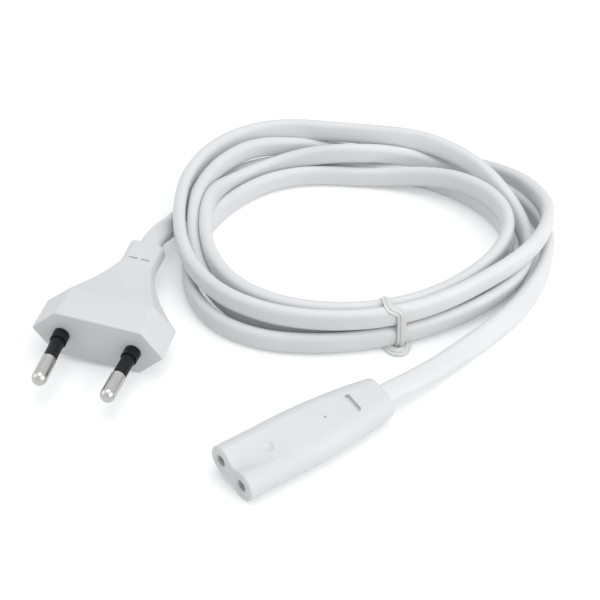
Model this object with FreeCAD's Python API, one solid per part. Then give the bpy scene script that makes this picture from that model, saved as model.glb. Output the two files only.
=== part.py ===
import FreeCAD, Part
import math
import os

# A mains lead: figure-eight connector, flat cord in a tied coil, flat two-pin plug.
# Millimetres. The connector lies along Y with its nose towards -Y, the floor is z = 0.

# connector overmould, its two lobes centred on the contacts
CONTACT_SPACING = 8.6
HALF_HEIGHT = 3.95
WAIST_HALF_HEIGHT = 2.5
BODY_LENGTH = 45.6
GROOVE_LENGTH = 13.0
MIDDLE_HALF_WIDTH = 7.9
MIDDLE_FROM_FACE = 29.0
REAR_HALF_WIDTH = 6.0
REAR_ROUNDING = 1.1
LIP_CHAMFER = 0.35
CONNECTOR_ROLL = 10.9

# contacts and what holds them
ENTRY_DIAMETER = 3.0
ENTRY_COUNTERSINK = 0.35
SOCKET_BORE = 2.4
SOCKET_WALL = 0.3
SOCKET_LENGTH = 11.0
SOCKET_SLIT = 0.5
FRONT_WALL = 1.2
FRONT_SEAT = 0.8
NECK_STRIP_WIDTH = 1.2
CRIMP_LENGTH = 4.0
CRIMP_DIAMETER = 3.0
CARRIER_COVER = 1.3
CARRIER_LENGTH = 15.0

# marks in the connector's flat sides
SLOT_FROM_FACE = 36.0
SLOT_LENGTH = 5.8
SLOT_WIDTH = 1.5
SLOT_DEPTH = 0.9
DIMPLE_FROM_FACE = 10.2
DIMPLE_DIAMETER = 3.0
DIMPLE_DEPTH = 0.4
GATE_FROM_FACE = 27.5
GATE_DIAMETER = 0.7
GATE_DEPTH = 0.35

# flat cord with two round cores
CORD_WIDTH = 6.0
CORE_SPACING = 2.8
CORE_DIAMETER = 2.2
STRAND_DIAMETER = 1.1
STRIPPED_LENGTH = 4.6
CONNECTOR_CORE_RUN = 6.5
PLUG_CORE_FIRST_RUN = 4.5
PLUG_CORE_LAST_RUN = 9.0

# plug overmould
PLUG_WIDTH = 35.7
PLUG_FLAT_WIDTH = 23.2
PLUG_THICKNESS = 13.7
PLUG_SHOULDER = 11.0
PLUG_NECK_START = 32.3
PLUG_LENGTH = 40.2
NECK_HALF_WIDTH = 5.3
NECK_HALF_HEIGHT = 2.8
NECK_SIDE_SLOPE = 1.0
NECK_CORNER_CUT = 1.2
FLAT_TAPER = 0.6
WIDTH_POWER = 1.6
FLAT_POWER = 1.35
THICKNESS_POWER = 1.3
PLUG_CORNER_CUT = 0.6
FACE_ROUNDING = 0.4
NECK_ROUNDING = 0.5
NECK_SLOT_LENGTH = 2.6
NECK_SLOT_WIDTH = 0.7
NECK_SLOT_DEPTH = 0.5
NECK_SLOT_SPACING = 3.4

# pins
PIN_DIAMETER = 4.0
PIN_REACH = 19.0
PIN_SPACING = 19.2
PIN_TOE_IN = 2.1
SLEEVE_LENGTH = 10.0
SLEEVE_DIAMETER = 3.6
PIN_WAIST_DIAMETER = 2.9
COLLAR_DIAMETER = 4.4
COLLAR_LENGTH = 3.0
BRIDGE_FROM_FACE = 1.5
BRIDGE_LENGTH = 5.0
BRIDGE_HEIGHT = 8.0
BRIDGE_SIDE = 3.0
BARREL_DIAMETER = 3.4
BARREL_LENGTH = 4.0
BARREL_FLOOR = 1.0
STRAND_SHOWING = 1.0

# where the plug lies
PLUG_X = -56.5
PLUG_Y = -25.0
PLUG_TURN = 38.5
PLUG_ROLL = 4.7

# coil, as radii from its centre every 45 degrees from its long axis
COIL_X = -58.5
COIL_Y = 62.1
COIL_TURN = 53.5
COIL_HEIGHT = 12.6
COIL_EDGE_RADIUS = 1.6
COIL_INNER = (39.5, 30.5, 25.6, 33.5, 41.5, 47.0, 41.0, 38.3)
COIL_OUTER = (54.8, 42.0, 39.5, 53.5, 53.5, 57.0, 48.4, 50.0)

# tie round the coil
TIE_ANGLE = 279.0
TIE_WIDTH = 2.0
TIE_THICKNESS = 0.8
TIE_CORNER = 1.0
TIE_HALF_SPAN = 5.0
TIE_KNOT_LENGTH = 7.2
TIE_KNOT_HEIGHT = 2.4

# route of the cord from the connector, and its last stretch inside the coil
CONNECTOR_LEAD_START = 9.5
CONNECTOR_LEAD_ROUTE = (
    (-2.6, 46.7, 3.0),
    (-5.1, 60.0, 3.0),
    (-8.0, 72.7, 3.0),
    (-13.0, 84.2, 3.0),
    (-21.5, 94.2, 3.0),
)

# route of the cord from the plug into the coil
PLUG_LEAD_START = 12.0
PLUG_LEAD_END = (-97.0, 34.2, 4.0)

# how far a cutter stands out of the surface it cuts, and steps of the lofts
CUTTER_OVERLAP = 1.0
ROUNDING_STEPS = 4
WAIST_STEPS = 6
ARC_SHARE_OF_RUN = 0.45
CORNER_SHARE_OF_SIDE = 0.42

Y_AXIS = FreeCAD.Vector(0, 1, 0)
Z_AXIS = FreeCAD.Vector(0, 0, 1)
FACE_Y = -BODY_LENGTH / 2
REAR_Y = BODY_LENGTH / 2


def vec(x, y, z):
    return FreeCAD.Vector(x, y, z)


def rod(radius, start_y, end_y, x=0.0, z=0.0):
    return Part.makeCylinder(radius, end_y - start_y, vec(x, start_y, z), Y_AXIS)


def cone_rod(start_radius, end_radius, start_y, end_y, x=0.0, z=0.0):
    return Part.makeCone(start_radius, end_radius, end_y - start_y, vec(x, start_y, z), Y_AXIS)


def block(half_width, start_y, end_y, low_z, high_z, x=0.0):
    corner = vec(x - half_width, start_y, low_z)
    return Part.makeBox(2 * half_width, end_y - start_y, high_z - low_z, corner)


def arc(start, middle, end):
    return Part.Arc(start, middle, end).toShape()


def line(start, end):
    return Part.LineSegment(start, end).toShape()


def eight_wire(y, inset=0.0):
    """Figure eight: two lobes round the contacts, joined by tangent hollows."""
    lobe = HALF_HEIGHT - inset
    lobe_x = CONTACT_SPACING / 2
    waist = WAIST_HALF_HEIGHT - inset
    hollow = (lobe_x ** 2 + waist ** 2 - lobe ** 2) / (2 * (lobe - waist))
    centre_z = waist + hollow
    reach = lobe / (lobe + hollow)
    touch_x = lobe_x - lobe_x * reach
    touch_z = centre_z * reach
    right = arc(vec(touch_x, y, -touch_z), vec(lobe_x + lobe, y, 0), vec(touch_x, y, touch_z))
    top = arc(vec(touch_x, y, touch_z), vec(0, y, waist), vec(-touch_x, y, touch_z))
    left = arc(vec(-touch_x, y, touch_z), vec(-lobe_x - lobe, y, 0), vec(-touch_x, y, -touch_z))
    bottom = arc(vec(-touch_x, y, -touch_z), vec(0, y, -waist), vec(touch_x, y, -touch_z))
    return Part.Wire([right, top, left, bottom])


def stadium_wire(y, half_width, half_height):
    """Flat section with round sides, in four edges like the figure eight."""
    side = half_width - half_height
    right = arc(vec(side, y, -half_height), vec(half_width, y, 0), vec(side, y, half_height))
    top = line(vec(side, y, half_height), vec(-side, y, half_height))
    left = arc(vec(-side, y, half_height), vec(-half_width, y, 0), vec(-side, y, -half_height))
    bottom = line(vec(-side, y, -half_height), vec(side, y, -half_height))
    return Part.Wire([right, top, left, bottom])


def rounded_end(section, size, start_y, direction):
    """Loft that rounds an end in steps; section takes y and inset."""
    wires = []
    for step in range(ROUNDING_STEPS + 1):
        angle = math.radians(90) * step / ROUNDING_STEPS
        y = start_y + direction * size * math.sin(angle)
        wires.append(section(y, size * (1 - math.cos(angle))))
    return Part.makeLoft(wires, True, True)


def contact_offsets():
    return {"left": -CONTACT_SPACING / 2, "right": CONTACT_SPACING / 2}


def core_offsets():
    return {"left": -CORE_SPACING / 2, "right": CORE_SPACING / 2}


def contact_start():
    return FACE_Y + FRONT_WALL


def carrier_start():
    return contact_start() + FRONT_SEAT


def crimp_start():
    return carrier_start() + CARRIER_LENGTH


def corner_points(before, corner, after, cut):
    """Start, middle and end of the arc that rounds a corner, cut back along both sides."""
    back = before.sub(corner)
    ahead = after.sub(corner)
    half_turn = (math.pi - back.getAngle(ahead)) / 2
    radius = cut / math.tan(half_turn)
    back.normalize()
    ahead.normalize()
    start = corner.add(back.multiply(cut))
    end = corner.add(ahead.multiply(cut))
    chord_middle = start.add(end).multiply(0.5)
    outward = corner.sub(chord_middle)
    outward.normalize()
    middle = chord_middle.add(outward.multiply(radius * (1 - math.cos(half_turn))))
    return start, middle, end, radius


def tangent_path(points):
    """Straight runs joined by arcs as large as their runs allow."""
    edges = []
    here = points[0]
    for before, corner, after in zip(points, points[1:], points[2:]):
        cut = ARC_SHARE_OF_RUN * min(corner.distanceToPoint(before), corner.distanceToPoint(after))
        start, middle, end, radius = corner_points(before, corner, after, cut)
        edges.append(line(here, start))
        edges.append(arc(start, middle, end))
        here = end
        print("arc radius", round(radius, 1))
    edges.append(line(here, points[-1]))
    return Part.Wire(edges)


def tube(points, diameter):
    """Round tube along a path, its volume printed as a share of section times length."""
    wire = tangent_path(points)
    heading = points[1].sub(points[0])
    profile = Part.Wire([Part.makeCircle(diameter / 2, points[0], heading)])
    solid = wire.makePipeShell([profile], True, False)
    share = solid.Volume / (math.pi * diameter ** 2 / 4 * wire.Length)
    print("tube length", round(wire.Length, 1), "volume share", round(share, 4))
    return solid


def core(start, end, first_run, last_run):
    """A core from a crimp to the cord, with a straight run at each end."""
    spread = vec(start.x, start.y + first_run, 0)
    gathered = vec(end.x, end.y - last_run, 0)
    return tube([start, spread, gathered, end], CORE_DIAMETER)


def contact(x):
    """Rolled brass socket, slit along its top, with a strip that leads to its crimp."""
    start = contact_start()
    outer = SOCKET_BORE / 2 + SOCKET_WALL
    socket_end = start + SOCKET_LENGTH
    crimp_end = crimp_start() + CRIMP_LENGTH
    socket = rod(outer, start, socket_end, x).cut(rod(SOCKET_BORE / 2, start, socket_end, x))
    socket = socket.cut(block(SOCKET_SLIT / 2, start, socket_end, 0, outer, x))
    strip = block(NECK_STRIP_WIDTH / 2, socket_end - SOCKET_WALL, crimp_end, -outer, -SOCKET_BORE / 2, x)
    strip = strip.common(rod(outer, start, crimp_end, x))
    crimp = rod(CRIMP_DIAMETER / 2, crimp_start(), crimp_end, x)
    whole = socket.fuse([strip, crimp]).removeSplitter()
    return whole.cut(rod(STRAND_DIAMETER / 2, crimp_start(), crimp_end, x))


def contact_space(x):
    """The room that a contact takes in its carrier and in the wall before it."""
    return rod(SOCKET_BORE / 2 + SOCKET_WALL, contact_start(), crimp_start(), x)


def contact_carrier():
    section = Part.Face(eight_wire(carrier_start(), CARRIER_COVER))
    carrier = section.extrude(vec(0, CARRIER_LENGTH, 0))
    for x in contact_offsets().values():
        carrier = carrier.cut(contact_space(x))
    return carrier


def connector_cores():
    pieces = {}
    strand_start = crimp_start()
    core_start = strand_start + STRIPPED_LENGTH
    for side, x in contact_offsets().items():
        start = vec(x, core_start, 0)
        end = vec(core_offsets()[side], REAR_Y, 0)
        pieces["core_" + side + "_connector"] = core(start, end, CONNECTOR_CORE_RUN, CONNECTOR_CORE_RUN)
        pieces["strand_" + side + "_connector"] = rod(STRAND_DIAMETER / 2, strand_start, core_start, x)
    return pieces


def connector_outside():
    groove_y = FACE_Y + GROOVE_LENGTH
    lip_y = FACE_Y + LIP_CHAMFER
    middle_y = FACE_Y + MIDDLE_FROM_FACE
    rear_y = REAR_Y - REAR_ROUNDING
    lip = Part.makeLoft([eight_wire(FACE_Y, LIP_CHAMFER), eight_wire(lip_y)], True, True)
    nose_half_width = CONTACT_SPACING / 2 + HALF_HEIGHT
    front = stadium_wire(groove_y, nose_half_width, HALF_HEIGHT)
    nose = Part.makeLoft([eight_wire(lip_y), front], True, True)
    middle = stadium_wire(middle_y, MIDDLE_HALF_WIDTH, HALF_HEIGHT)
    rear = stadium_wire(rear_y, REAR_HALF_WIDTH, HALF_HEIGHT)
    grip = Part.makeLoft([front, middle, rear], True, False)

    def rear_section(y, inset):
        return stadium_wire(y, REAR_HALF_WIDTH - inset, HALF_HEIGHT - inset)

    end = rounded_end(rear_section, REAR_ROUNDING, rear_y, 1)
    return lip.fuse([nose, grip, end]).removeSplitter()


def pill_cutter(length, width, depth, x, y, surface_z, side):
    """Round-ended slot across the axis, sunk into a flat side."""
    radius = width / 2
    reach = length / 2 - radius
    low = surface_z - depth if side > 0 else -surface_z - CUTTER_OVERLAP
    high = surface_z + CUTTER_OVERLAP if side > 0 else -surface_z + depth
    bar = Part.makeBox(2 * reach, width, high - low, vec(x - reach, y - radius, low))
    ends = [Part.makeCylinder(radius, high - low, vec(x + end * reach, y, low), Z_AXIS) for end in (-1, 1)]
    return bar.fuse(ends)


def dimple_cutter():
    """Large ball that leaves a shallow round hollow in the floor of the upper groove."""
    share = (DIMPLE_FROM_FACE - LIP_CHAMFER) / (GROOVE_LENGTH - LIP_CHAMFER)
    surface_z = WAIST_HALF_HEIGHT + (HALF_HEIGHT - WAIST_HALF_HEIGHT) * share
    radius = (DIMPLE_DIAMETER ** 2 / 4 + DIMPLE_DEPTH ** 2) / (2 * DIMPLE_DEPTH)
    centre_z = surface_z - DIMPLE_DEPTH + radius
    return Part.makeSphere(radius, vec(0, FACE_Y + DIMPLE_FROM_FACE, centre_z))


def gate_cutter():
    base = vec(0, FACE_Y + GATE_FROM_FACE, HALF_HEIGHT - GATE_DEPTH)
    return Part.makeCylinder(GATE_DIAMETER / 2, GATE_DEPTH + CUTTER_OVERLAP, base, Z_AXIS)


def connector_body(inner_pieces):
    body = connector_outside()
    for side in (-1, 1):
        slot_y = FACE_Y + SLOT_FROM_FACE
        body = body.cut(pill_cutter(SLOT_LENGTH, SLOT_WIDTH, SLOT_DEPTH, 0, slot_y, HALF_HEIGHT, side))
    body = body.cut(dimple_cutter()).cut(gate_cutter())
    for x in contact_offsets().values():
        body = body.cut(rod(ENTRY_DIAMETER / 2, FACE_Y, contact_start(), x))
        wide = ENTRY_DIAMETER / 2 + ENTRY_COUNTERSINK
        body = body.cut(cone_rod(wide, ENTRY_DIAMETER / 2, FACE_Y, FACE_Y + ENTRY_COUNTERSINK, x))
        body = body.cut(contact_space(x))
    for piece in inner_pieces:
        body = body.cut(piece)
    return body


def place_connector(shape):
    """Lay the straight connector over on its side edge, as the cord's twist holds it."""
    placed = shape.copy()
    placed.rotate(vec(0, 0, 0), Y_AXIS, CONNECTOR_ROLL)
    placed.translate(vec(0, 0, connector_lift()))
    return placed


def plug_section(y, half_width, half_flat, half_height, inset=0.0, corner_cut=PLUG_CORNER_CUT):
    """Six-sided section with side ridges at mid height and every corner rounded."""
    wide = half_width - inset
    flat = half_flat - inset / 2
    high = half_height - inset
    corners = [
        vec(wide, y, 0),
        vec(flat, y, high),
        vec(-flat, y, high),
        vec(-wide, y, 0),
        vec(-flat, y, -high),
        vec(flat, y, -high),
    ]
    cut = min(corner_cut, CORNER_SHARE_OF_SIDE * math.hypot(wide - flat, high))
    rounds = []
    for index, corner in enumerate(corners):
        rounds.append(corner_points(corners[index - 1], corner, corners[(index + 1) % 6], cut)[:3])
    edges = []
    for index, (start, middle, end) in enumerate(rounds):
        edges.append(arc(start, middle, end))
        edges.append(line(end, rounds[(index + 1) % 6][0]))
    return Part.Wire(edges)


def shoulder_flat():
    return PLUG_FLAT_WIDTH / 2 - FLAT_TAPER


def taper_section(share):
    """A section of the plug's waist, from the shoulder (0) to the neck (1)."""
    y = PLUG_SHOULDER + (PLUG_NECK_START - PLUG_SHOULDER) * share
    half_width = NECK_HALF_WIDTH + (PLUG_WIDTH / 2 - NECK_HALF_WIDTH) * (1 - share) ** WIDTH_POWER
    neck_flat = NECK_HALF_WIDTH - NECK_SIDE_SLOPE
    half_flat = neck_flat + (shoulder_flat() - neck_flat) * (1 - share) ** FLAT_POWER
    half_flat = min(half_flat, half_width - NECK_SIDE_SLOPE)
    thinning = (PLUG_THICKNESS / 2 - NECK_HALF_HEIGHT) * (1 - share) ** THICKNESS_POWER
    corner_cut = PLUG_CORNER_CUT + (NECK_CORNER_CUT - PLUG_CORNER_CUT) * share
    return plug_section(y, half_width, half_flat, NECK_HALF_HEIGHT + thinning, 0.0, corner_cut)


def plug_outside():
    half_width = PLUG_WIDTH / 2
    half_height = PLUG_THICKNESS / 2

    def face_section(y, inset=0.0):
        return plug_section(y, half_width, PLUG_FLAT_WIDTH / 2, half_height, inset)

    def neck_section(y, inset=0.0):
        neck_flat = NECK_HALF_WIDTH - NECK_SIDE_SLOPE
        return plug_section(y, NECK_HALF_WIDTH, neck_flat, NECK_HALF_HEIGHT, inset, NECK_CORNER_CUT)

    face = rounded_end(face_section, FACE_ROUNDING, FACE_ROUNDING, -1)
    front = Part.makeLoft([face_section(FACE_ROUNDING), taper_section(0)], True, True)
    waist_sections = [taper_section(step / WAIST_STEPS) for step in range(WAIST_STEPS + 1)]
    waist = Part.makeLoft(waist_sections, True, False)
    neck_end = PLUG_LENGTH - NECK_ROUNDING
    neck = Part.makeLoft([neck_section(PLUG_NECK_START), neck_section(neck_end)], True, True)
    end = rounded_end(neck_section, NECK_ROUNDING, neck_end, 1)
    return face.fuse([front, waist, neck, end]).removeSplitter()


def tilted_pin(shape, side):
    """Lean a pin made on the Y axis inwards, about its point in the face."""
    leaned = shape.copy()
    leaned.rotate(vec(0, 0, 0), Z_AXIS, -side * PIN_TOE_IN)
    leaned.translate(vec(side * PIN_SPACING / 2, 0, 0))
    return leaned


def pin(side):
    radius = PIN_DIAMETER / 2
    tip = Part.makeSphere(radius, vec(0, -PIN_REACH + radius, 0))
    metal = rod(radius, -PIN_REACH + radius, -SLEEVE_LENGTH).fuse(tip)
    waist = rod(PIN_WAIST_DIAMETER / 2, -SLEEVE_LENGTH, BRIDGE_FROM_FACE + BRIDGE_LENGTH)
    barrel_start = BRIDGE_FROM_FACE + BRIDGE_LENGTH
    barrel = rod(BARREL_DIAMETER / 2, barrel_start, barrel_start + BARREL_LENGTH)
    barrel = barrel.cut(rod(STRAND_DIAMETER / 2, barrel_start + BARREL_FLOOR, barrel_start + BARREL_LENGTH))
    return tilted_pin(metal.fuse([waist, barrel]).removeSplitter(), side)


def sleeve(side):
    insulation = rod(SLEEVE_DIAMETER / 2, -SLEEVE_LENGTH, BRIDGE_FROM_FACE)
    collar = rod(COLLAR_DIAMETER / 2, -COLLAR_LENGTH, BRIDGE_FROM_FACE)
    hole = rod(PIN_WAIST_DIAMETER / 2, -SLEEVE_LENGTH, BRIDGE_FROM_FACE)
    return tilted_pin(insulation.fuse(collar).cut(hole).removeSplitter(), side)


def plug_bridge():
    half_width = PIN_SPACING / 2 + BRIDGE_SIDE
    end = BRIDGE_FROM_FACE + BRIDGE_LENGTH
    bridge = block(half_width, BRIDGE_FROM_FACE, end, -BRIDGE_HEIGHT / 2, BRIDGE_HEIGHT / 2)
    for side in (-1, 1):
        bridge = bridge.cut(sleeve(side)).cut(pin(side))
    return bridge


def plug_cores():
    pieces = {}
    barrel_end = BRIDGE_FROM_FACE + BRIDGE_LENGTH + BARREL_LENGTH
    core_start = barrel_end + STRAND_SHOWING
    strand_start = barrel_end - BARREL_LENGTH + BARREL_FLOOR
    core_x = PIN_SPACING / 2 + core_start * math.sin(math.radians(PIN_TOE_IN))
    for name, side in (("left", -1), ("right", 1)):
        strand = tilted_pin(rod(STRAND_DIAMETER / 2, strand_start, core_start), side)
        start = vec(side * core_x, core_start, 0)
        end = vec(side * CORE_SPACING / 2, PLUG_LENGTH, 0)
        insulation = core(start, end, PLUG_CORE_FIRST_RUN, PLUG_CORE_LAST_RUN)
        pieces["strand_" + name + "_plug"] = strand
        pieces["core_" + name + "_plug"] = insulation.cut(strand)
    return pieces


def plug_body(inner_pieces):
    body = plug_outside()
    slot_y = PLUG_NECK_START + NECK_SLOT_WIDTH / 2
    for side in (-1, 1):
        for place in (-1, 1):
            x = place * NECK_SLOT_SPACING / 2
            size = (NECK_SLOT_LENGTH, NECK_SLOT_WIDTH, NECK_SLOT_DEPTH)
            body = body.cut(pill_cutter(*size, x, slot_y, NECK_HALF_HEIGHT, side))
    for piece in inner_pieces:
        body = body.cut(piece)
    return body


def plug_lift():
    roll = math.radians(PLUG_ROLL)
    return PLUG_FLAT_WIDTH / 2 * math.sin(roll) + PLUG_THICKNESS / 2 * math.cos(roll)


def place_plug(shape):
    placed = shape.copy()
    placed.rotate(vec(0, 0, 0), Y_AXIS, PLUG_ROLL)
    placed.rotate(vec(0, 0, 0), Z_AXIS, PLUG_TURN)
    placed.translate(vec(PLUG_X, PLUG_Y, plug_lift()))
    return placed


def coil_point(angle, radius, z):
    heading = math.radians(COIL_TURN + angle)
    return vec(COIL_X + radius * math.cos(heading), COIL_Y + radius * math.sin(heading), z)


def coil_outline(radii):
    curve = Part.BSplineCurve()
    points = [coil_point(45 * index, radius, 0) for index, radius in enumerate(radii)]
    curve.interpolate(Points=points, PeriodicFlag=True)
    return Part.Face(Part.Wire([curve.toShape()]))


def coil():
    plan = coil_outline(COIL_OUTER).cut(coil_outline(COIL_INNER))
    ring = plan.extrude(vec(0, 0, COIL_HEIGHT))
    tops = [edge for edge in ring.Edges if edge.BoundBox.ZMin > COIL_HEIGHT - 0.01]
    return ring.Solids[0].makeFillet(COIL_EDGE_RADIUS, tops)


def tie():
    """Strap round the bundle, lying in the XZ plane, with its knot along Y at the foot."""
    half_width = TIE_WIDTH / 2
    top = COIL_HEIGHT + TIE_THICKNESS
    outer = block(TIE_HALF_SPAN, -half_width, half_width, 0, top)
    inner_span = TIE_HALF_SPAN - TIE_THICKNESS
    inner = block(inner_span, -half_width, half_width, TIE_THICKNESS, COIL_HEIGHT)
    strap = with_rounded_corners(outer, TIE_CORNER + TIE_THICKNESS).cut(with_rounded_corners(inner, TIE_CORNER))
    radius = TIE_KNOT_HEIGHT / 2
    reach = TIE_KNOT_LENGTH / 2 - radius
    knot_x = TIE_HALF_SPAN + radius - TIE_THICKNESS / 2
    knot = rod(radius, -reach, reach, knot_x, radius)
    ends = [Part.makeSphere(radius, vec(knot_x, end * reach, radius)) for end in (-1, 1)]
    knot = knot.fuse(ends).cut(block(inner_span, -reach, reach, 0, top))
    return strap.fuse(knot).removeSplitter()


def with_rounded_corners(box, radius):
    edges = [edge for edge in box.Edges if abs(edge.tangentAt(edge.FirstParameter).y) > 0.99]
    return box.makeFillet(radius, edges)


def place_tie(shape):
    """Turn the strap so that the coil passes through it where the turns are gathered."""
    radius = (COIL_INNER[6] + COIL_OUTER[6]) / 2
    placed = shape.copy()
    placed.rotate(vec(0, 0, 0), Z_AXIS, COIL_TURN + TIE_ANGLE)
    placed.translate(coil_point(TIE_ANGLE, radius, 0))
    return placed


def connector_lift():
    return CONTACT_SPACING / 2 * math.sin(math.radians(CONNECTOR_ROLL)) + HALF_HEIGHT


def connector_lead_points():
    start = vec(0, REAR_Y, connector_lift())
    level = vec(0, REAR_Y + CONNECTOR_LEAD_START, connector_lift())
    return [start, level] + [vec(*point) for point in CONNECTOR_LEAD_ROUTE]


def plug_lead_points():
    turn = math.radians(PLUG_TURN)
    rear = vec(-math.sin(turn), math.cos(turn), 0)
    face = vec(PLUG_X, PLUG_Y, plug_lift())
    start = face.add(vec(rear.x * PLUG_LENGTH, rear.y * PLUG_LENGTH, 0))
    level = start.add(vec(rear.x * PLUG_LEAD_START, rear.y * PLUG_LEAD_START, 0))
    return [start, level, vec(*PLUG_LEAD_END)]


def build():
    parts = {}
    contacts = {"contact_" + side: contact(x) for side, x in contact_offsets().items()}
    cores = connector_cores()
    carrier = contact_carrier()
    parts["connector_body"] = connector_body([carrier] + list(contacts.values()) + list(cores.values()))
    parts["contact_carrier"] = carrier
    parts.update(contacts)
    parts.update(cores)
    parts = {name: place_connector(shape) for name, shape in parts.items()}

    plug = {"plug_bridge": plug_bridge()}
    for name, side in (("left", -1), ("right", 1)):
        plug["pin_" + name] = pin(side)
        plug["sleeve_" + name] = sleeve(side)
    plug.update(plug_cores())
    plug["plug_body"] = plug_body(list(plug.values()))
    parts.update({name: place_plug(shape) for name, shape in plug.items()})

    strap = place_tie(tie())
    ring = coil().cut(strap)
    parts["cord_coil"] = ring
    parts["cord_tie"] = strap
    parts["cord_connector_lead"] = tube(connector_lead_points(), CORD_WIDTH).cut(ring)
    parts["cord_plug_lead"] = tube(plug_lead_points(), CORD_WIDTH).cut(ring)
    return parts


def main():
    os.makedirs("parts", exist_ok=True)
    for name, shape in build().items():
        print(name, len(shape.Solids), "solid", round(shape.Volume, 1), "valid", shape.isValid())
        shape.exportStep("parts/" + name + ".step")


main()
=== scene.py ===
import math

import bpy
import numpy as np
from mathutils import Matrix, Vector

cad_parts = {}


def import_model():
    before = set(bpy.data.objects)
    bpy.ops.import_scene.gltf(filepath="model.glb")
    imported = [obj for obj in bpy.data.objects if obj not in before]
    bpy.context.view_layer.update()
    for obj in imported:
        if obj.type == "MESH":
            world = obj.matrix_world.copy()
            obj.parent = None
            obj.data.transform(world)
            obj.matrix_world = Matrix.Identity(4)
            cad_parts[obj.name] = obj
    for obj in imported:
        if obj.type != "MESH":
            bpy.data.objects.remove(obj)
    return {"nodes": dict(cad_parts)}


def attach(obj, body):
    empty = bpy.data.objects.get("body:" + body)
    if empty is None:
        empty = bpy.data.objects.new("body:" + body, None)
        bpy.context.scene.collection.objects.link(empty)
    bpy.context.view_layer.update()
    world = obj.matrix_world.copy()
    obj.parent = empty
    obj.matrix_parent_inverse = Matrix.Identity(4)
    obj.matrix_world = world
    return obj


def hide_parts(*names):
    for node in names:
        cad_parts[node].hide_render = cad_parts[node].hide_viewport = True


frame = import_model()
scene = bpy.context.scene
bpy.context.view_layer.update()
nodes = frame["nodes"]

# Lengths are in metres and angles in degrees; the camera's lens and sensor are in millimetres

# Camera, at the photograph's place and angle

CAMERA_PLACE = (0.2546, -0.1907, 0.3076)
CAMERA_HEADING = (-0.8039, 0.5948, 0)
CAMERA_PITCH = 39.32
CAMERA_LENS = 108
CAMERA_SENSOR = 36
CAMERA_CLIP = 0.01


def camera():
    """Looks along the heading and down by the pitch, with no roll."""
    data = bpy.data.cameras.new("camera")
    data.lens = CAMERA_LENS
    data.sensor_width = CAMERA_SENSOR
    data.clip_start = CAMERA_CLIP
    pitch = math.radians(CAMERA_PITCH)
    view = Vector(CAMERA_HEADING).normalized() * math.cos(pitch)
    view.z = -math.sin(pitch)
    placed = bpy.data.objects.new("camera", data)
    placed.location = CAMERA_PLACE
    placed.rotation_euler = view.to_track_quat("-Z", "Y").to_euler()
    scene.collection.objects.link(placed)
    scene.camera = placed


camera()

# Cord: a flat lead that stands on its edge in the coil and turns flat towards its ends
# The leads are route points from the connector to the coil and from the coil to the plug

CORD_WIDTH = 0.006
CORD_THICKNESS = 0.0034
CORD_ARC_STEPS = 8
LINE_STEPS = 10
CONNECTOR_EXIT = (0, 0.0228, 0.004763)
CONNECTOR_LEAD = [
    CONNECTOR_EXIT,
    (0, 0.0278, 0.004763),
    (-0.0004, 0.0350, 0.0041),
    (-0.0015, 0.0425, 0.0031),
    (-0.0028, 0.0507, 0.0025),
    (-0.0040, 0.0597, 0.0026),
    (-0.0058, 0.0704, 0.0028),
    (-0.0095, 0.0818, 0.0030),
    (-0.0158, 0.0932, 0.0030),
]
PLUG_LEAD = [
    (-0.0920, 0.0218, 0.0041),
    (-0.0885, 0.0163, 0.0059),
    (-0.0857, 0.0121, 0.0072),
    (-0.0834, 0.0089, 0.00776),
    (-0.0815, 0.0065, 0.0078),
]

# Coil: its centre, its inner edge at equal angles round it, and where each turn lies
# Rows of the lay are degrees wound from the connector, lane outward and layer upward

COIL_CENTRE = (-0.0585, 0.0621)
COIL_TURN = 53.5
COIL_INNER = (0.0395, 0.0305, 0.0256, 0.0335, 0.0415, 0.0470, 0.0410, 0.0383)
LANE_PITCH = 0.0036
LANE_START = 0.0018
LAYER_PITCH = 0.0061
COIL_STEP = 15
COIL_LAY = [
    (0, 3.4, 0), (22, 3.0, 0), (45, 2.0, 0.1), (60, 1.3, 0.4), (75, 0.6, 0.7),
    (90, 0.1, 0.9), (105, 0.1, 0.8), (120, 0.6, 0.4), (135, 1.0, 0), (150, 1.1, 0),
    (165, 0.9, 0.5), (180, 0.2, 0.9), (195, -0.1, 1), (225, -0.1, 1), (270, 0.2, 1),
    (315, 0.1, 1),
    (360, 0, 1), (390, -0.1, 0.9), (420, 0, 0.3), (440, 0.1, 0), (495, 0.1, 0),
    (525, 0.1, 0), (540, 0.4, 0), (560, 1.2, 0), (585, 1.9, 0), (630, 1.2, 0),
    (660, 1.3, 0), (675, 1.7, 0), (690, 2.1, 0), (705, 1.7, 0),
    (720, 1.0, 0.1), (735, 0.7, 0.5), (750, 0.8, 0.9), (780, 1.3, 1), (810, 1.7, 1),
    (828, 2.2, 1), (845, 3.4, 1), (860, 3.8, 1), (880, 3.1, 1), (900, 2.0, 1),
    (945, 1.2, 1), (990, 1.2, 1), (1035, 1.2, 1), (1065, 2.4, 1),
    (1080, 2.9, 0.9), (1095, 2.8, 0.6), (1110, 2.6, 0.3), (1125, 2.4, 0), (1140, 2.2, 0),
    (1170, 2.0, 0), (1200, 1.9, 0.6), (1215, 2.3, 0.9), (1240, 1.7, 0.9), (1260, 0.9, 0.9),
    (1305, 0.4, 0), (1350, 0.2, 0), (1395, 0, 0),
    (1440, 0, 0), (1470, 0.3, 0), (1500, 0.9, 0), (1530, 1.5, 0), (1545, 2.0, 0),
    (1560, 2.5, 0), (1575, 2.8, 0), (1590, 2.8, 0), (1605, 2.7, 0),
]

# Roll of the flat cord about its line: flat at each end, on its edge between them,
# the length over which it turns, and one loose turn that leans back

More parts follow.
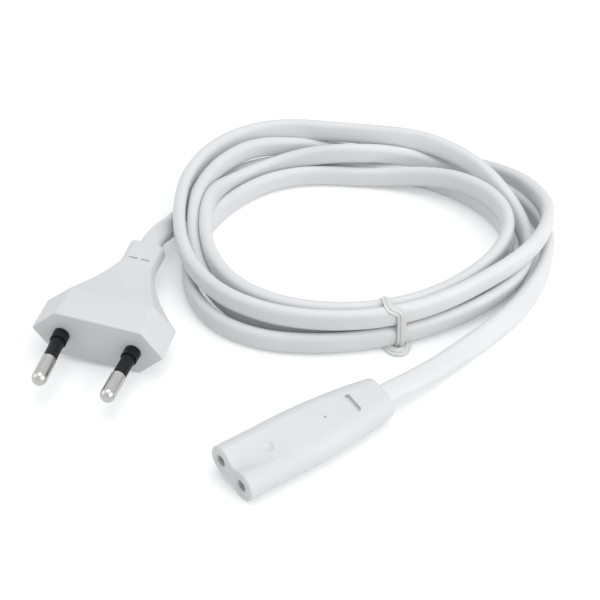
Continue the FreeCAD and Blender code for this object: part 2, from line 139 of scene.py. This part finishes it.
CONNECTOR_ROLL = -10.9
PLUG_ROLL = -175.3
ON_EDGE = -90
TWIST_START = 0.004
CONNECTOR_TWIST = 0.08
PLUG_TWIST = 0.02
LEAN = 24
LEAN_AT = 0.655
LEAN_REACH = 0.055

# Settling: the cord counts as two rows of points side by side, which keep a gap
# to the rows of other turns and to the floor

ROW_OFFSET = 0.0013
SETTLE_STEPS = 900
SETTLE_PER_SPAN = 4
SETTLE_LOOK_EVERY = 15
SETTLE_GAP = 0.00342
SETTLE_FLOOR = 0.00172
SETTLE_NEAR = 0.0059
SETTLE_APART = 0.014
SETTLE_HELD = 3
SETTLE_SHARE = 0.35
SETTLE_RETURN = 0.997
SETTLE_EVEN = 0.15
SETTLE_GENTLE_FROM = 600
SETTLE_EVEN_GENTLE = 0.05
TINY = 1e-9


def smooth_value(x, xs, ys):
    """Smooth curve through the points xs, ys with uneven spacing."""
    slopes = np.gradient(ys, xs)
    i = np.clip(np.searchsorted(xs, x, side="right") - 1, 0, len(xs) - 2)
    step = xs[i + 1] - xs[i]
    t = (x - xs[i]) / step
    start = (2 * t ** 3 - 3 * t ** 2 + 1) * ys[i] + (t ** 3 - 2 * t ** 2 + t) * step * slopes[i]
    end = (3 * t ** 2 - 2 * t ** 3) * ys[i + 1] + (t ** 3 - t ** 2) * step * slopes[i + 1]
    return start + end


def coil_points():
    """The turns before they settle, in the order they are wound from the connector."""
    wound = np.arange(0, COIL_LAY[-1][0] + 1, COIL_STEP, dtype=float)
    degrees, lanes, layers = (np.array(column, float) for column in zip(*COIL_LAY))
    lane = smooth_value(wound, degrees, lanes)
    layer = np.clip(smooth_value(wound, degrees, layers), 0, 1)
    parts = len(COIL_INNER)
    around = np.arange(-2, parts + 3)
    edge = np.array([COIL_INNER[k % parts] for k in around])
    inner = smooth_value(wound % 360, around * 360 / parts, edge)
    radius = inner + LANE_START + LANE_PITCH * lane
    heading = np.radians(wound + COIL_TURN)
    x = COIL_CENTRE[0] + radius * np.cos(heading)
    y = COIL_CENTRE[1] + radius * np.sin(heading)
    return np.stack([x, y, CORD_WIDTH / 2 + LAYER_PITCH * layer], 1)


def line_weights(count, per_span):
    """How much each route point pulls on each place along the smooth line.

    They are the weights of a quadratic spline that ends at its first and last points.
    """
    knots = np.concatenate([[0, 0], np.arange(count - 1), [count - 2, count - 2]]).astype(float)
    u = np.linspace(0, count - 2, (count - 2) * per_span + 1)
    u[-1] -= TINY
    weights = np.where((u[:, None] >= knots[:-1]) & (u[:, None] < knots[1:]), 1.0, 0.0)
    for degree in (1, 2):
        before = knots[degree:-1] - knots[:-degree - 1]
        after = knots[degree + 1:] - knots[1:-degree]
        rising = (u[:, None] - knots[:-degree - 1]) / np.where(before > 0, before, 1)
        falling = (knots[degree + 1:] - u[:, None]) / np.where(after > 0, after, 1)
        rising = np.where(before > 0, rising, 0) * weights[:, :-1]
        weights = rising + np.where(after > 0, falling, 0) * weights[:, 1:]
    return weights


def lengths_along(points):
    """Distance along the line at each point."""
    return np.concatenate([[0], np.cumsum(np.linalg.norm(np.diff(points, axis=0), axis=1))])


def eased(share):
    """The share, kept from 0 to 1, with a slow start and end."""
    share = np.clip(share, 0, 1)
    return 3 * share ** 2 - 2 * share ** 3


def flat_frames(points, along):
    """Heading, wide direction and thin direction of the flat cord at each point."""
    heading = np.gradient(points, axis=0)
    heading /= np.linalg.norm(heading, axis=1)[:, None]
    side = np.cross(heading, [0, 0, 1.0])
    side /= np.linalg.norm(side, axis=1)[:, None]
    up = np.cross(side, heading)
    first = eased((along - TWIST_START) / CONNECTOR_TWIST)
    last = eased((along[-1] - TWIST_START - along) / PLUG_TWIST)
    near_connector = CONNECTOR_ROLL + (ON_EDGE - CONNECTOR_ROLL) * first
    near_plug = PLUG_ROLL + (ON_EDGE - PLUG_ROLL) * last
    roll = np.where(along < along[-1] / 2, near_connector, near_plug)
    roll -= LEAN * np.exp(-((along - LEAN_AT) / LEAN_REACH) ** 2)
    roll = np.radians(roll)[:, None]
    wide = np.cos(roll) * side + np.sin(roll) * up
    return heading, wide, np.cross(wide, heading)


def near_pairs(rows, along):
    """Pairs of row points that are close in space and far from each other along the cord."""
    both = np.concatenate([along, along])
    gap = np.linalg.norm(rows[:, None] - rows[None], axis=2)
    apart = np.abs(both[:, None] - both[None]) > SETTLE_APART
    return np.nonzero(np.triu((gap < SETTLE_NEAR) & apart, 1))


def pushes(rows, pairs):
    """How far each row point has to move to clear the other turns and the floor."""
    a, b = pairs
    between = rows[a] - rows[b]
    distance = np.linalg.norm(between, axis=1)
    depth = np.maximum(SETTLE_GAP - distance, 0)
    move = (0.5 * depth / np.maximum(distance, TINY))[:, None] * between
    push = np.zeros_like(rows)
    touching = np.zeros(len(rows))
    np.add.at(push, a, move)
    np.add.at(push, b, -move)
    np.add.at(touching, a[depth > 0], 1)
    np.add.at(touching, b[depth > 0], 1)
    push /= np.sqrt(np.maximum(touching, 1))[:, None]
    push[:, 2] += np.maximum(SETTLE_FLOOR - rows[:, 2], 0)
    return push


def settle(route):
    """Pushes the turns apart until they lie on and beside each other, above the floor."""
    weights = line_weights(len(route), SETTLE_PER_SPAN)
    pull = (weights ** 2).sum(0)[:, None]
    first = route.copy()
    for step in range(SETTLE_STEPS):
        line = weights @ route
        along = lengths_along(line)
        wide = flat_frames(line, along)[1]
        rows = np.concatenate([line + ROW_OFFSET * wide, line - ROW_OFFSET * wide])
        if step % SETTLE_LOOK_EVERY == 0:
            pairs = near_pairs(rows, along)
        push = pushes(rows, pairs)
        push = push[:len(line)] + push[len(line):]
        shift = route + SETTLE_SHARE * (weights.T @ push) / pull - first
        bend = np.zeros_like(shift)
        bend[1:-1] = (shift[:-2] + shift[2:]) / 2 - shift[1:-1]
        if step < SETTLE_GENTLE_FROM:
            shift = SETTLE_RETURN * shift + SETTLE_EVEN * bend
        else:
            shift = shift + SETTLE_EVEN_GENTLE * bend
        route = first + shift
        route[:SETTLE_HELD] = first[:SETTLE_HELD]
        route[-SETTLE_HELD:] = first[-SETTLE_HELD:]
    return route


def smooth_line(name, route):
    """One open, smooth curve with the route as its control points."""
    curve = bpy.data.curves.new(name, "CURVE")
    curve.dimensions = "3D"
    curve.resolution_u = LINE_STEPS
    spline = curve.splines.new("NURBS")
    spline.points.add(len(route) - 1)
    for place, point in zip(spline.points, route):
        place.co = (*point, 1)
    spline.order_u = 3
    spline.use_endpoint_u = True
    return curve


def points_of(curve):
    """The points that the smooth curve runs through."""
    holder = bpy.data.objects.new("line_holder", curve)
    scene.collection.objects.link(holder)
    mesh = bpy.data.meshes.new_from_object(holder)
    points = np.array([vertex.co for vertex in mesh.vertices], float).reshape(-1, 3)
    bpy.data.objects.remove(holder)
    bpy.data.meshes.remove(mesh)
    return points


def swept_mesh(name, points, wide, thin, section):
    """A closed skin along the points, its section given in the wide and thin directions."""
    rings = len(points)
    count = len(section)
    shape = np.array(section)
    offset_wide = shape[None, :, :1] * wide[:, None]
    offset_thin = shape[None, :, 1:] * thin[:, None]
    skin = points[:, None] + offset_wide + offset_thin
    faces = []
    for ring in range(rings - 1):
        for k in range(count):
            after = (k + 1) % count
            a, b = ring * count, (ring + 1) * count
            faces.append((a + k, a + after, b + after, b + k))
    faces.append(tuple(reversed(range(count))))
    faces.append(tuple(range((rings - 1) * count, rings * count)))
    mesh = bpy.data.meshes.new(name)
    mesh.from_pydata(skin.reshape(-1, 3).tolist(), [], faces)
    around = lengths_along(np.vstack([shape, shape[:1]]))
    along = lengths_along(points)
    map_along = mesh.uv_layers.new(name="along")
    for ring in range(rings - 1):
        for k in range(count):
            start = (ring * count + k) * 4
            corners = ((ring, k), (ring, k + 1), (ring + 1, k + 1), (ring + 1, k))
            for corner, (r, c) in enumerate(corners):
                map_along.data[start + corner].uv = (along[r], around[c])
    mesh.polygons.foreach_set("use_smooth", [True] * len(mesh.polygons))
    mesh.update()
    return mesh


def flat_section(width, thickness, arc_steps):
    """Flat section with round edges, and a point in the middle of each flat side."""
    edge = thickness / 2
    reach = width / 2 - edge
    section = []
    for side in (1, -1):
        for k in range(arc_steps + 1):
            angle = math.pi * (k / arc_steps - 0.5)
            section.append((side * (reach + edge * math.cos(angle)), side * edge * math.sin(angle)))
        section.append((0, side * edge))
    return section


def piece(name, mesh):
    """A new piece of the object."""
    made = bpy.data.objects.new(name, mesh)
    scene.collection.objects.link(made)
    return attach(made, "root")


route = np.concatenate([CONNECTOR_LEAD, coil_points(), PLUG_LEAD])
route = settle(route)
cord_line = points_of(smooth_line("cord_line", route))
cord_along = lengths_along(cord_line)
cord_wide, cord_thin = flat_frames(cord_line, cord_along)[1:]
cord_section = flat_section(CORD_WIDTH, CORD_THICKNESS, CORD_ARC_STEPS)
cord = piece("cord", swept_mesh("cord", cord_line, cord_wide, cord_thin, cord_section))
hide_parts("cord_connector_lead", "cord_coil", "cord_plug_lead")

# Tie: a thin ribbed ribbon drawn tight round the gathered turns, its ends folded at the foot
# The loop runs round from one angle to the other, shifted along the turns as the rows say:
# degrees round the loop and the shift there

TIE_ANGLE = 332.5
TIE_REACH = 0.055
TIE_WIDTH = 0.0024
TIE_FLAT_SHARE = 0.9
TIE_THICKNESS = 0.00045
TIE_RIB = 0.00035
TIE_STAND_OFF = 0.00022
TIE_LOWEST = 0.0006
TIE_FROM = -60
TIE_TO = 300
TIE_EVERY = 6
TIE_PLACES = 72
TIE_SMOOTHINGS = 3
TIE_SHIFT = [
    (-60, 0.0012), (0, 0.0019), (20, 0.0017), (60, -0.0012), (180, -0.0016), (240, 0.0008),
]
TIE_FOLD_FACING = (0.35, -0.25, 0.9)
TIE_FOLD = [
    (-0.0205, 0.0412, 0.0008),
    (-0.0186, 0.0393, 0.0008),
    (-0.0163, 0.0388, 0.0008),
    (-0.0146, 0.0392, 0.0009),
    (-0.0135, 0.0408, 0.0009),
    (-0.0141, 0.0425, 0.0009),
    (-0.0158, 0.0443, 0.0009),
    (-0.0178, 0.0452, 0.0008),
]


def turns_in_plane(angle):
    """The plane's direction from the coil's centre, and the outline of each turn it cuts."""
    out = np.array([math.cos(angle), math.sin(angle)])
    away = cord_line[:, :2] - COIL_CENTRE
    outward = away @ out
    across = away @ np.array([-out[1], out[0]])
    near = (outward[:-1] > 0) & (outward[:-1] < TIE_REACH)
    cut = np.nonzero((across[:-1] * across[1:] < 0) & near)[0]
    points = []
    for k in cut:
        for wide, thin in cord_section:
            corner = cord_line[k] + wide * cord_wide[k] + thin * cord_thin[k]
            points.append(((corner[:2] - COIL_CENTRE) @ out, corner[2]))
    return out, np.array(points)


def values_at(places, along, points):
    """The points at other places along their line."""
    return np.stack([np.interp(places, along, points[:, k]) for k in range(3)], 1)


def tie_loop():
    """Tight loop round the turns, from the foot over the top and back, and its outward side."""
    out, points = turns_in_plane(math.radians(TIE_ANGLE))
    tangent = np.array([-out[1], out[0], 0])
    degrees = np.arange(TIE_FROM, TIE_TO + 1, TIE_EVERY)
    facing = np.stack([np.cos(np.radians(degrees)), np.sin(np.radians(degrees))], 1)
    reach = points @ facing.T
    touch = points[reach.argmax(0)] + TIE_STAND_OFF * facing
    touch[:, 1] = np.maximum(touch[:, 1], TIE_LOWEST)
    shift = np.interp(degrees, *zip(*TIE_SHIFT))
    flat = COIL_CENTRE + touch[:, :1] * out + shift[:, None] * tangent[:2]
    loop = np.column_stack([flat, touch[:, 1]])
    normal = np.column_stack([facing[:, :1] * out, facing[:, 1]])
    along = lengths_along(loop)
    places = np.linspace(0, along[-1], TIE_PLACES)
    loop = values_at(places, along, loop)
    normal = values_at(places, along, normal)
    for _ in range(TIE_SMOOTHINGS):
        loop[1:-1] = (loop[:-2] + 2 * loop[1:-1] + loop[2:]) / 4
    return loop, normal


def ribbon_mesh(name, points, outward):
    """Thin ribbon with a rib along its middle, its face towards the outward directions."""
    heading = np.gradient(points, axis=0)
    wide = np.cross(heading, outward)
    wide /= np.linalg.norm(wide, axis=1)[:, None]
    thin = np.cross(wide, heading)
    thin /= np.linalg.norm(thin, axis=1)[:, None]
    half, edge, rib = TIE_WIDTH / 2, TIE_THICKNESS / 2, TIE_RIB
    flat = half * TIE_FLAT_SHARE
    section = [(-half, 0), (-flat, -edge), (flat, -edge), (half, 0), (flat, edge)]
    section += [(rib, edge), (rib / 2, edge + rib), (-rib / 2, edge + rib), (-rib, edge)]
    section.append((-flat, edge))
    return swept_mesh(name, points, wide, thin, section)


def joined(name, meshes):
    """One mesh with the skins of several."""
    corners = []
    faces = []
    for mesh in meshes:
        start = len(corners)
        corners += [tuple(vertex.co) for vertex in mesh.vertices]
        faces += [[start + index for index in face.vertices] for face in mesh.polygons]
        bpy.data.meshes.remove(mesh)
    whole = bpy.data.meshes.new(name)
    whole.from_pydata(corners, [], faces)
    return whole


tie_line, tie_facing = tie_loop()
fold_line = points_of(smooth_line("fold_line", TIE_FOLD))
fold_facing = np.tile(TIE_FOLD_FACING, (len(fold_line), 1))
tie = piece("tie", joined("tie", [
    ribbon_mesh("tie_band", tie_line, tie_facing),
    ribbon_mesh("tie_fold", fold_line, fold_facing),
]))
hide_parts("cord_tie")

# Materials: noise scales are per metre of the object, and bump depths are metres

PLASTIC_TONE_SCALE = 60
PLASTIC_SHINE_SCALE = 240
PLASTIC_DENT_SCALE = 90
PLASTIC_DENT_DEPTH = 0.00006
PLASTIC_SHINE_RANGE = (-0.05, 0.06)
METAL_TONE_SCALE = 300
METAL_SHINE_SCALE = 500
METAL_SHINE_RANGE = (-0.04, 0.08)
NOISE_LOW = 0.3
NOISE_HIGH = 0.7


def node_tree(name):
    """A new material with its node tree and principled shader."""
    material = bpy.data.materials.new(name)
    material.use_nodes = True
    tree = material.node_tree
    return material, tree, tree.nodes["Principled BSDF"]


def add(tree, kind, **values):
    """A node with its sockets and settings."""
    made = tree.nodes.new(kind)
    for key, value in values.items():
        if key in made.inputs:
            made.inputs[key].default_value = value
        else:
            setattr(made, key, value)
    return made


def noise(tree, vector, scale, detail=2.0, stretch=None):
    """Noise over the coordinates, drawn out along an axis where a stretch is given."""
    if stretch is not None:
        mapping = add(tree, "ShaderNodeMapping", Scale=stretch)
        tree.links.new(vector, mapping.inputs["Vector"])
        vector = mapping.outputs["Vector"]
    made = add(tree, "ShaderNodeTexNoise", Scale=scale, Detail=detail)
    tree.links.new(vector, made.inputs["Vector"])
    return made.outputs["Fac"]


def ramp(tree, value, low, high):
    """Noise spread over a range."""
    made = tree.nodes.new("ShaderNodeMapRange")
    made.inputs["From Min"].default_value = NOISE_LOW
    made.inputs["From Max"].default_value = NOISE_HIGH
    made.inputs["To Min"].default_value = low
    made.inputs["To Max"].default_value = high
    tree.links.new(value, made.inputs["Value"])
    return made.outputs["Result"]


def mixed(tree, factor, first, second):
    """A colour between two, by the factor."""
    made = tree.nodes.new("ShaderNodeMix")
    made.data_type = "RGBA"
    made.inputs["A"].default_value = (*first, 1)
    made.inputs["B"].default_value = (*second, 1)
    tree.links.new(factor, made.inputs["Factor"])
    return made.outputs["Result"]


def bump(tree, shader, heights):
    """Bump from one or more heights, each with its depth."""
    normal = None
    for height, depth in heights:
        made = add(tree, "ShaderNodeBump", Strength=1.0, Distance=depth)
        tree.links.new(height, made.inputs["Height"])
        if normal is not None:
            tree.links.new(normal, made.inputs["Normal"])
        normal = made.outputs["Normal"]
    tree.links.new(normal, shader.inputs["Normal"])


def plastic(
    name, light, dark, rough, grain, grain_depth, coords="Object", stretch=None, gloss=0.4
):
    """Plastic with a fine moulded grain, shallow dents, and slight changes in tone and shine."""
    material, tree, shader = node_tree(name)
    shader.inputs["Specular IOR Level"].default_value = gloss
    place = tree.nodes.new("ShaderNodeTexCoord").outputs[coords]
    tone = ramp(tree, noise(tree, place, PLASTIC_TONE_SCALE, detail=3.0), 0, 1)
    tree.links.new(mixed(tree, tone, light, dark), shader.inputs["Base Color"])
    wear = noise(tree, place, PLASTIC_SHINE_SCALE, detail=4.0)
    low, high = PLASTIC_SHINE_RANGE
    shine = ramp(tree, wear, rough + low, rough + high)
    tree.links.new(shine, shader.inputs["Roughness"])
    fine = noise(tree, place, grain, stretch=stretch)
    dents = noise(tree, place, PLASTIC_DENT_SCALE)
    bump(tree, shader, [(fine, grain_depth), (dents, PLASTIC_DENT_DEPTH)])
    return material


def metal(name, light, dark, rough, grain, grain_depth):
    """Metal with a fine satin grain."""
    material, tree, shader = node_tree(name)
    shader.inputs["Metallic"].default_value = 1
    place = tree.nodes.new("ShaderNodeTexCoord").outputs["Object"]
    tone = ramp(tree, noise(tree, place, METAL_TONE_SCALE, detail=3.0), 0, 1)
    tree.links.new(mixed(tree, tone, light, dark), shader.inputs["Base Color"])
    wear = noise(tree, place, METAL_SHINE_SCALE, detail=3.0)
    low, high = METAL_SHINE_RANGE
    shine = ramp(tree, wear, rough + low, rough + high)
    tree.links.new(shine, shader.inputs["Roughness"])
    bump(tree, shader, [(noise(tree, place, grain), grain_depth)])
    return material


# Rows are light tone, dark tone, roughness, grain scale and grain depth

PLASTICS = {
    "overmould_white": ((0.700, 0.708, 0.720), (0.670, 0.678, 0.692), 0.42, 5000, 0.000012),
    "cord_cover_white": ((0.750, 0.758, 0.770), (0.716, 0.725, 0.738), 0.40, 4000, 0.000012),
    "tie_plastic": ((0.76, 0.765, 0.745), (0.715, 0.72, 0.70), 0.35, 3000, 0.00002),
    "sleeve_black": ((0.006, 0.006, 0.007), (0.009, 0.009, 0.010), 0.42, 5000, 0.00001),
    "insert_black": ((0.015, 0.015, 0.016), (0.03, 0.03, 0.03), 0.5, 5000, 0.00002),
    "insert_grey": ((0.30, 0.30, 0.31), (0.26, 0.26, 0.27), 0.5, 5000, 0.00002),
    "insulation_brown": ((0.16, 0.065, 0.025), (0.13, 0.05, 0.02), 0.4, 4000, 0.00001),
    "insulation_blue": ((0.02, 0.09, 0.42), (0.018, 0.075, 0.36), 0.4, 4000, 0.00001),
}
SPECIAL = {
    "cord_cover_white": {"coords": "UV", "stretch": (0.02, 1, 1)},
    "sleeve_black": {"gloss": 0.2},
}
METALS = {
    "nickel": ((0.50, 0.50, 0.485), (0.46, 0.46, 0.445), 0.19, 2500, 0.0000005),
    "tinned_brass": ((0.50, 0.49, 0.46), (0.40, 0.39, 0.36), 0.32, 3000, 0.000004),
    "copper": ((0.80, 0.42, 0.26), (0.62, 0.30, 0.18), 0.3, 3000, 0.000006),
}
WORN_BY = {
    "overmould_white": ["connector_body", "plug_body"],
    "insert_grey": ["contact_carrier"],
    "insert_black": ["plug_bridge"],
    "tinned_brass": ["contact_left", "contact_right"],
    "nickel": ["pin_left", "pin_right"],
    "sleeve_black": ["sleeve_left", "sleeve_right"],
    "insulation_brown": ["core_left_connector", "core_left_plug"],
    "insulation_blue": ["core_right_connector", "core_right_plug"],
    "copper": [
        "strand_left_connector", "strand_left_plug",
        "strand_right_connector", "strand_right_plug",
    ],
}
finishes = {name: plastic(name, *row, **SPECIAL.get(name, {})) for name, row in PLASTICS.items()}
finishes.update({name: metal(name, *row) for name, row in METALS.items()})
for finish, wearers in WORN_BY.items():
    for name in wearers:
        nodes[name].data.materials.clear()
        nodes[name].data.materials.append(finishes[finish])
cord.data.materials.append(finishes["cord_cover_white"])
tie.data.materials.append(finishes["tie_plastic"])

# Floor, lights and background
# Rows of the lights are name, place, size and power

FLOOR_REACH = 2.0
FLOOR_TONE = 0.86
FLOOR_ROUGH = 0.9
FLOOR_GLOSS = 0.1
FLOOR_GLOW = 0.26
SKY_COLOUR = (0.96, 0.98, 1, 1)
SKY_STRENGTH = 0.45
BACKGROUND_COLOUR = (1, 1, 1, 1)
LIGHT_TARGET = (-0.05, 0.04, 0)
LIGHTS = [
    ("key_light", (-0.10, 0.15, 0.9), 0.8, 3.6),
    ("right_light", (0.58, 0.24, 0.32), 0.7, 2.9),
    ("left_light", (-0.47, -0.52, 0.40), 0.6, 1.0),
]


def floor():
    """Pale floor that keeps only the object's soft shadow."""
    mesh = bpy.data.meshes.new("floor")
    turns = ((-1, -1), (1, -1), (1, 1), (-1, 1))
    corners = [(FLOOR_REACH * x, FLOOR_REACH * y, 0) for x, y in turns]
    mesh.from_pydata(corners, [], [(0, 1, 2, 3)])
    made = bpy.data.objects.new("floor", mesh)
    scene.collection.objects.link(made)
    material, tree, shader = node_tree("floor")
    shader.inputs["Base Color"].default_value = (FLOOR_TONE, FLOOR_TONE, FLOOR_TONE, 1)
    shader.inputs["Roughness"].default_value = FLOOR_ROUGH
    shader.inputs["Specular IOR Level"].default_value = FLOOR_GLOSS
    glow = add(tree, "ShaderNodeEmission", Strength=FLOOR_GLOW)
    both = tree.nodes.new("ShaderNodeAddShader")
    tree.links.new(shader.outputs["BSDF"], both.inputs[0])
    tree.links.new(glow.outputs["Emission"], both.inputs[1])
    choose = tree.nodes.new("ShaderNodeMixShader")
    tree.links.new(seen_ray(tree), choose.inputs["Fac"])
    tree.links.new(shader.outputs["BSDF"], choose.inputs[1])
    tree.links.new(both.outputs["Shader"], choose.inputs[2])
    tree.links.new(choose.outputs["Shader"], tree.nodes["Material Output"].inputs["Surface"])
    mesh.materials.append(material)


def seen_ray(tree):
    """One for rays that show the background: from the camera, or by way of metal or glass."""
    path = tree.nodes.new("ShaderNodeLightPath")
    total = path.outputs["Is Camera Ray"]
    for name in ("Is Glossy Ray", "Is Transmission Ray"):
        more = add(tree, "ShaderNodeMath", operation="MAXIMUM")
        tree.links.new(total, more.inputs[0])
        tree.links.new(path.outputs[name], more.inputs[1])
        total = more.outputs["Value"]
    return total


def world():
    """White background, and a softer even light on the object."""
    made = bpy.data.worlds.new("world")
    made.use_nodes = True
    tree = made.node_tree
    light = tree.nodes["Background"]
    light.inputs["Color"].default_value = SKY_COLOUR
    light.inputs["Strength"].default_value = SKY_STRENGTH
    seen = add(tree, "ShaderNodeBackground", Color=BACKGROUND_COLOUR, Strength=1.0)
    choose = tree.nodes.new("ShaderNodeMixShader")
    tree.links.new(seen_ray(tree), choose.inputs["Fac"])
    tree.links.new(light.outputs["Background"], choose.inputs[1])
    tree.links.new(seen.outputs["Background"], choose.inputs[2])
    tree.links.new(choose.outputs["Shader"], tree.nodes["World Output"].inputs["Surface"])
    scene.world = made


def area_light(name, place, size, power):
    """A square soft light aimed at the object."""
    data = bpy.data.lights.new(name, "AREA")
    data.size = size
    data.energy = power
    made = bpy.data.objects.new(name, data)
    made.location = place
    aim = Vector(LIGHT_TARGET) - Vector(place)
    made.rotation_euler = aim.to_track_quat("-Z", "Y").to_euler()
    scene.collection.objects.link(made)


floor()
world()
for row in LIGHTS:
    area_light(*row)
scene.view_settings.view_transform = "Standard"
